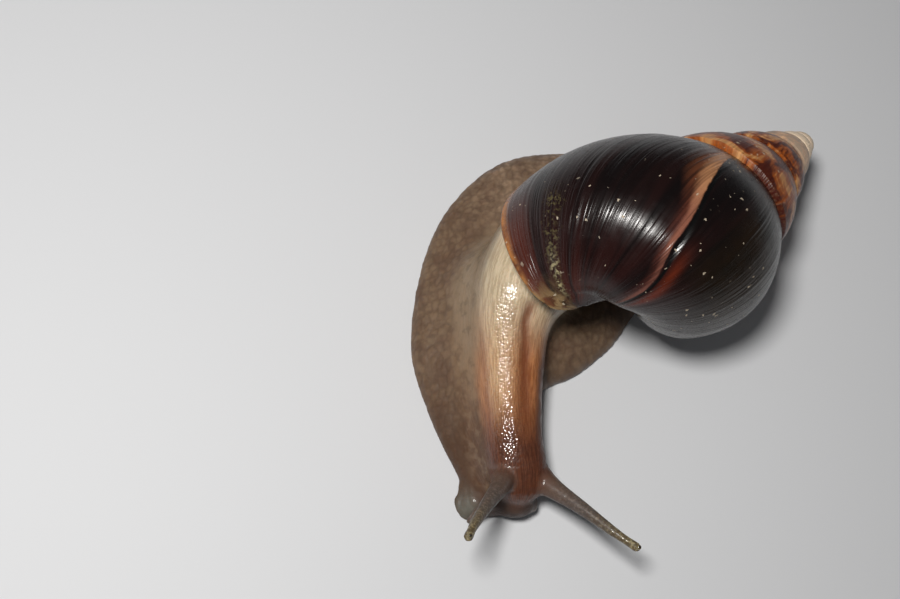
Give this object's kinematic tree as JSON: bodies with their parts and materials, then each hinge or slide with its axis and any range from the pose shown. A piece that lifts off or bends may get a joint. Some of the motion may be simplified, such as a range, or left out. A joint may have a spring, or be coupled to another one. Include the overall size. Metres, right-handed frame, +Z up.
{
  "type": "giant african land snail",
  "caption": "Giant african land snail at life size, crawling with its neck stretched out and its dark glossy shell carried to one side",
  "frame": {"origin": "middle of the footprint of the whole animal, on the floor it crawls on", "axes": "+Z up from the sole; -Y is the way the head points; +X is the side the shell's spire is carried to"},
  "size_m": [0.097, 0.1044, 0.057],
  "materials": {
    "shell": "gloss",
    "head": "wet satin",
    "neck": "wet satin",
    "trunk": "wet satin",
    "mantle_collar": "wet satin",
    "foot_front": "wet satin",
    "foot_middle": "wet satin",
    "foot_rear": "wet satin",
    "tail": "wet satin",
    "mouth_lobe_left": "wet satin",
    "mouth_lobe_right": "wet satin",
    "tentacle_upper_left": "wet satin",
    "tentacle_upper_right": "wet satin",
    "tentacle_lower_left": "wet satin",
    "tentacle_lower_right": "wet satin",
    "eye_left": "gloss",
    "eye_right": "gloss"
  },
  "bodies": {
    "root": {"shell": "shell", "head": "head", "neck": "neck", "trunk": "trunk", "mantle_collar": "mantle_collar", "foot_front": "foot_front", "foot_middle": "foot_middle", "foot_rear": "foot_rear", "tail": "tail", "mouth_lobe_left": "mouth_lobe_left", "mouth_lobe_right": "mouth_lobe_right", "tentacle_upper_left": "tentacle_upper_left", "tentacle_upper_right": "tentacle_upper_right", "tentacle_lower_left": "tentacle_lower_left", "tentacle_lower_right": "tentacle_lower_right", "eye_left": "eye_left", "eye_right": "eye_right"}
  },
  "joints": []
}
